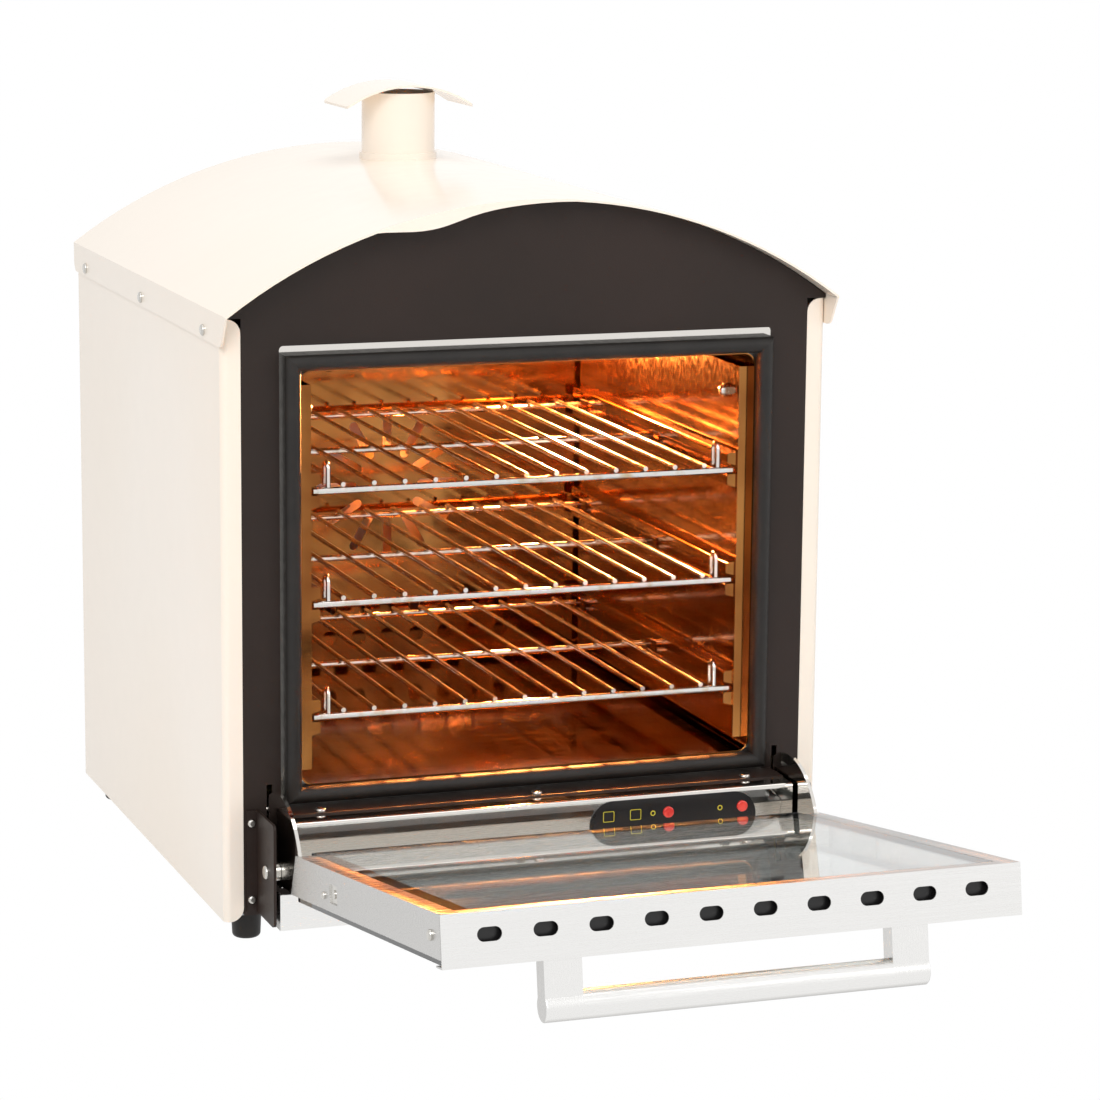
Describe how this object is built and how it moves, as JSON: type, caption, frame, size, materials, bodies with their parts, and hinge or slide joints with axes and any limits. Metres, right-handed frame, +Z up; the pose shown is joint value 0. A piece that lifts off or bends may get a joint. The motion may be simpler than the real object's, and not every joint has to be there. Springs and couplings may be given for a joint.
{
  "type": "baked potato oven",
  "caption": "Counter-top baked potato oven with arched enamelled roof, chimney with cap, wire racks, and a drop-down glass door with bar handle, shown open.",
  "frame": {"origin": "on the table, under the middle of the whole footprint with the door open", "axes": "+X to the right of someone facing the oven, +Y from front to back, +Z up; the door opens towards -Y"},
  "size_m": [0.458, 0.8666, 0.582],
  "materials": {
    "cream_enamel": "smooth gloss powder coat, warm cream",
    "dark_enamel": "satin powder coat, near black",
    "zinc_sheet": "plain zinc-coated sheet",
    "black_rubber": "matt black moulded rubber",
    "bright_screw": "bright plated steel",
    "black_plastic": "matt black nylon",
    "polished_steel": "mirror-polished stainless steel",
    "rack_chrome": "bright chromed wire",
    "cast_aluminium": "plain cast aluminium",
    "element_sheath": "heat-tinted steel sheath",
    "lamp_glass": "clear heat-proof glass",
    "mineral_wool": "pressed mineral wool",
    "brushed_steel": "stainless steel, fine linear grain",
    "satin_steel": "satin stainless steel",
    "overlay_black": "satin black printed film",
    "button_red": "glossy red cap",
    "board_green": "coated circuit board",
    "clear_glass": "clear toughened glass, polished edges"
  },
  "bodies": {
    "body": {"side_panel_left": "cream_enamel", "side_panel_right": "cream_enamel", "roof_panel": "cream_enamel", "front_fascia": "dark_enamel", "rear_panel": "zinc_sheet", "base_tray": "zinc_sheet", "feet": "black_rubber", "foot_screws": "bright_screw", "roof_screws": "bright_screw", "rear_screws": "bright_screw", "cable_inlet": "black_plastic", "chimney_tube": "cream_enamel", "chimney_collar": "cream_enamel", "vent_duct": "zinc_sheet", "chimney_cap": "cream_enamel", "cap_strap": "cream_enamel", "cavity_floor": "polished_steel", "cavity_roof": "polished_steel", "cavity_wall_left": "polished_steel", "cavity_wall_right": "polished_steel", "cavity_back_wall": "polished_steel", "front_frame": "polished_steel", "door_gasket": "black_rubber", "shelf_runners": "polished_steel", "dome_nuts": "bright_screw", "fan_cover": "polished_steel", "fan_motor": "cast_aluminium", "heating_element": "element_sheath", "lamp_holder": "zinc_sheet", "lamp_glass": "lamp_glass", "insulation": "mineral_wool", "cradle_bars": "zinc_sheet", "control_fascia": "polished_steel", "base_panel": "brushed_steel", "ledge_strip": "dark_enamel", "strip_screws": "bright_screw", "hinge_brackets": "dark_enamel", "hinge_pins": "bright_screw", "hinge_bushes": "bright_screw", "bracket_screws": "bright_screw", "control_overlay": "overlay_black", "control_board": "board_green"},
    "door": {"door_rail_left": "brushed_steel", "door_rail_right": "brushed_steel", "door_top_rail": "brushed_steel", "door_foot_rail": "brushed_steel", "glass_seat": "polished_steel", "inner_glass": "clear_glass", "outer_glass": "clear_glass", "quadrant_plates": "satin_steel", "door_catches": "bright_screw", "door_screws": "bright_screw", "handle_bar": "brushed_steel", "handle_ends": "satin_steel"},
    "fan": {"convection_fan": "zinc_sheet"},
    "lower_rack": {"rack_lower": "rack_chrome"},
    "middle_rack": {"rack_middle": "rack_chrome"},
    "upper_rack": {"rack_upper": "rack_chrome"},
    "heat_switch": {"heat_button": "button_red"},
    "power_switch": {"power_button": "button_red"}
  },
  "joints": [
    {"name": "door_hinge", "type": "hinge", "parent": "body", "child": "door", "pos_m": [0, -0.05279, 0.061], "axis": [-1, 0, 0], "range_deg": [0, 81.3]},
    {"name": "fan_spin", "type": "hinge", "parent": "body", "child": "fan", "pos_m": [0, 0.33561, 0.2615], "axis": [0, 1, 0], "continuous": true},
    {"name": "lower_rack_slide", "type": "slide", "parent": "body", "child": "lower_rack", "axis": [0, -1, 0], "range_m": [-0.009, 0.012]},
    {"name": "middle_rack_slide", "type": "slide", "parent": "body", "child": "middle_rack", "axis": [0, -1, 0], "range_m": [-0.009, 0.012]},
    {"name": "upper_rack_slide", "type": "slide", "parent": "body", "child": "upper_rack", "axis": [0, -1, 0], "range_m": [-0.009, 0.012]},
    {"name": "heat_press", "type": "slide", "parent": "body", "child": "heat_switch", "axis": [0, 1, 0], "range_m": [0, 0.001], "stiffness_N_per_m": 300},
    {"name": "power_press", "type": "slide", "parent": "body", "child": "power_switch", "axis": [0, 1, 0], "range_m": [0, 0.001], "stiffness_N_per_m": 300}
  ]
}
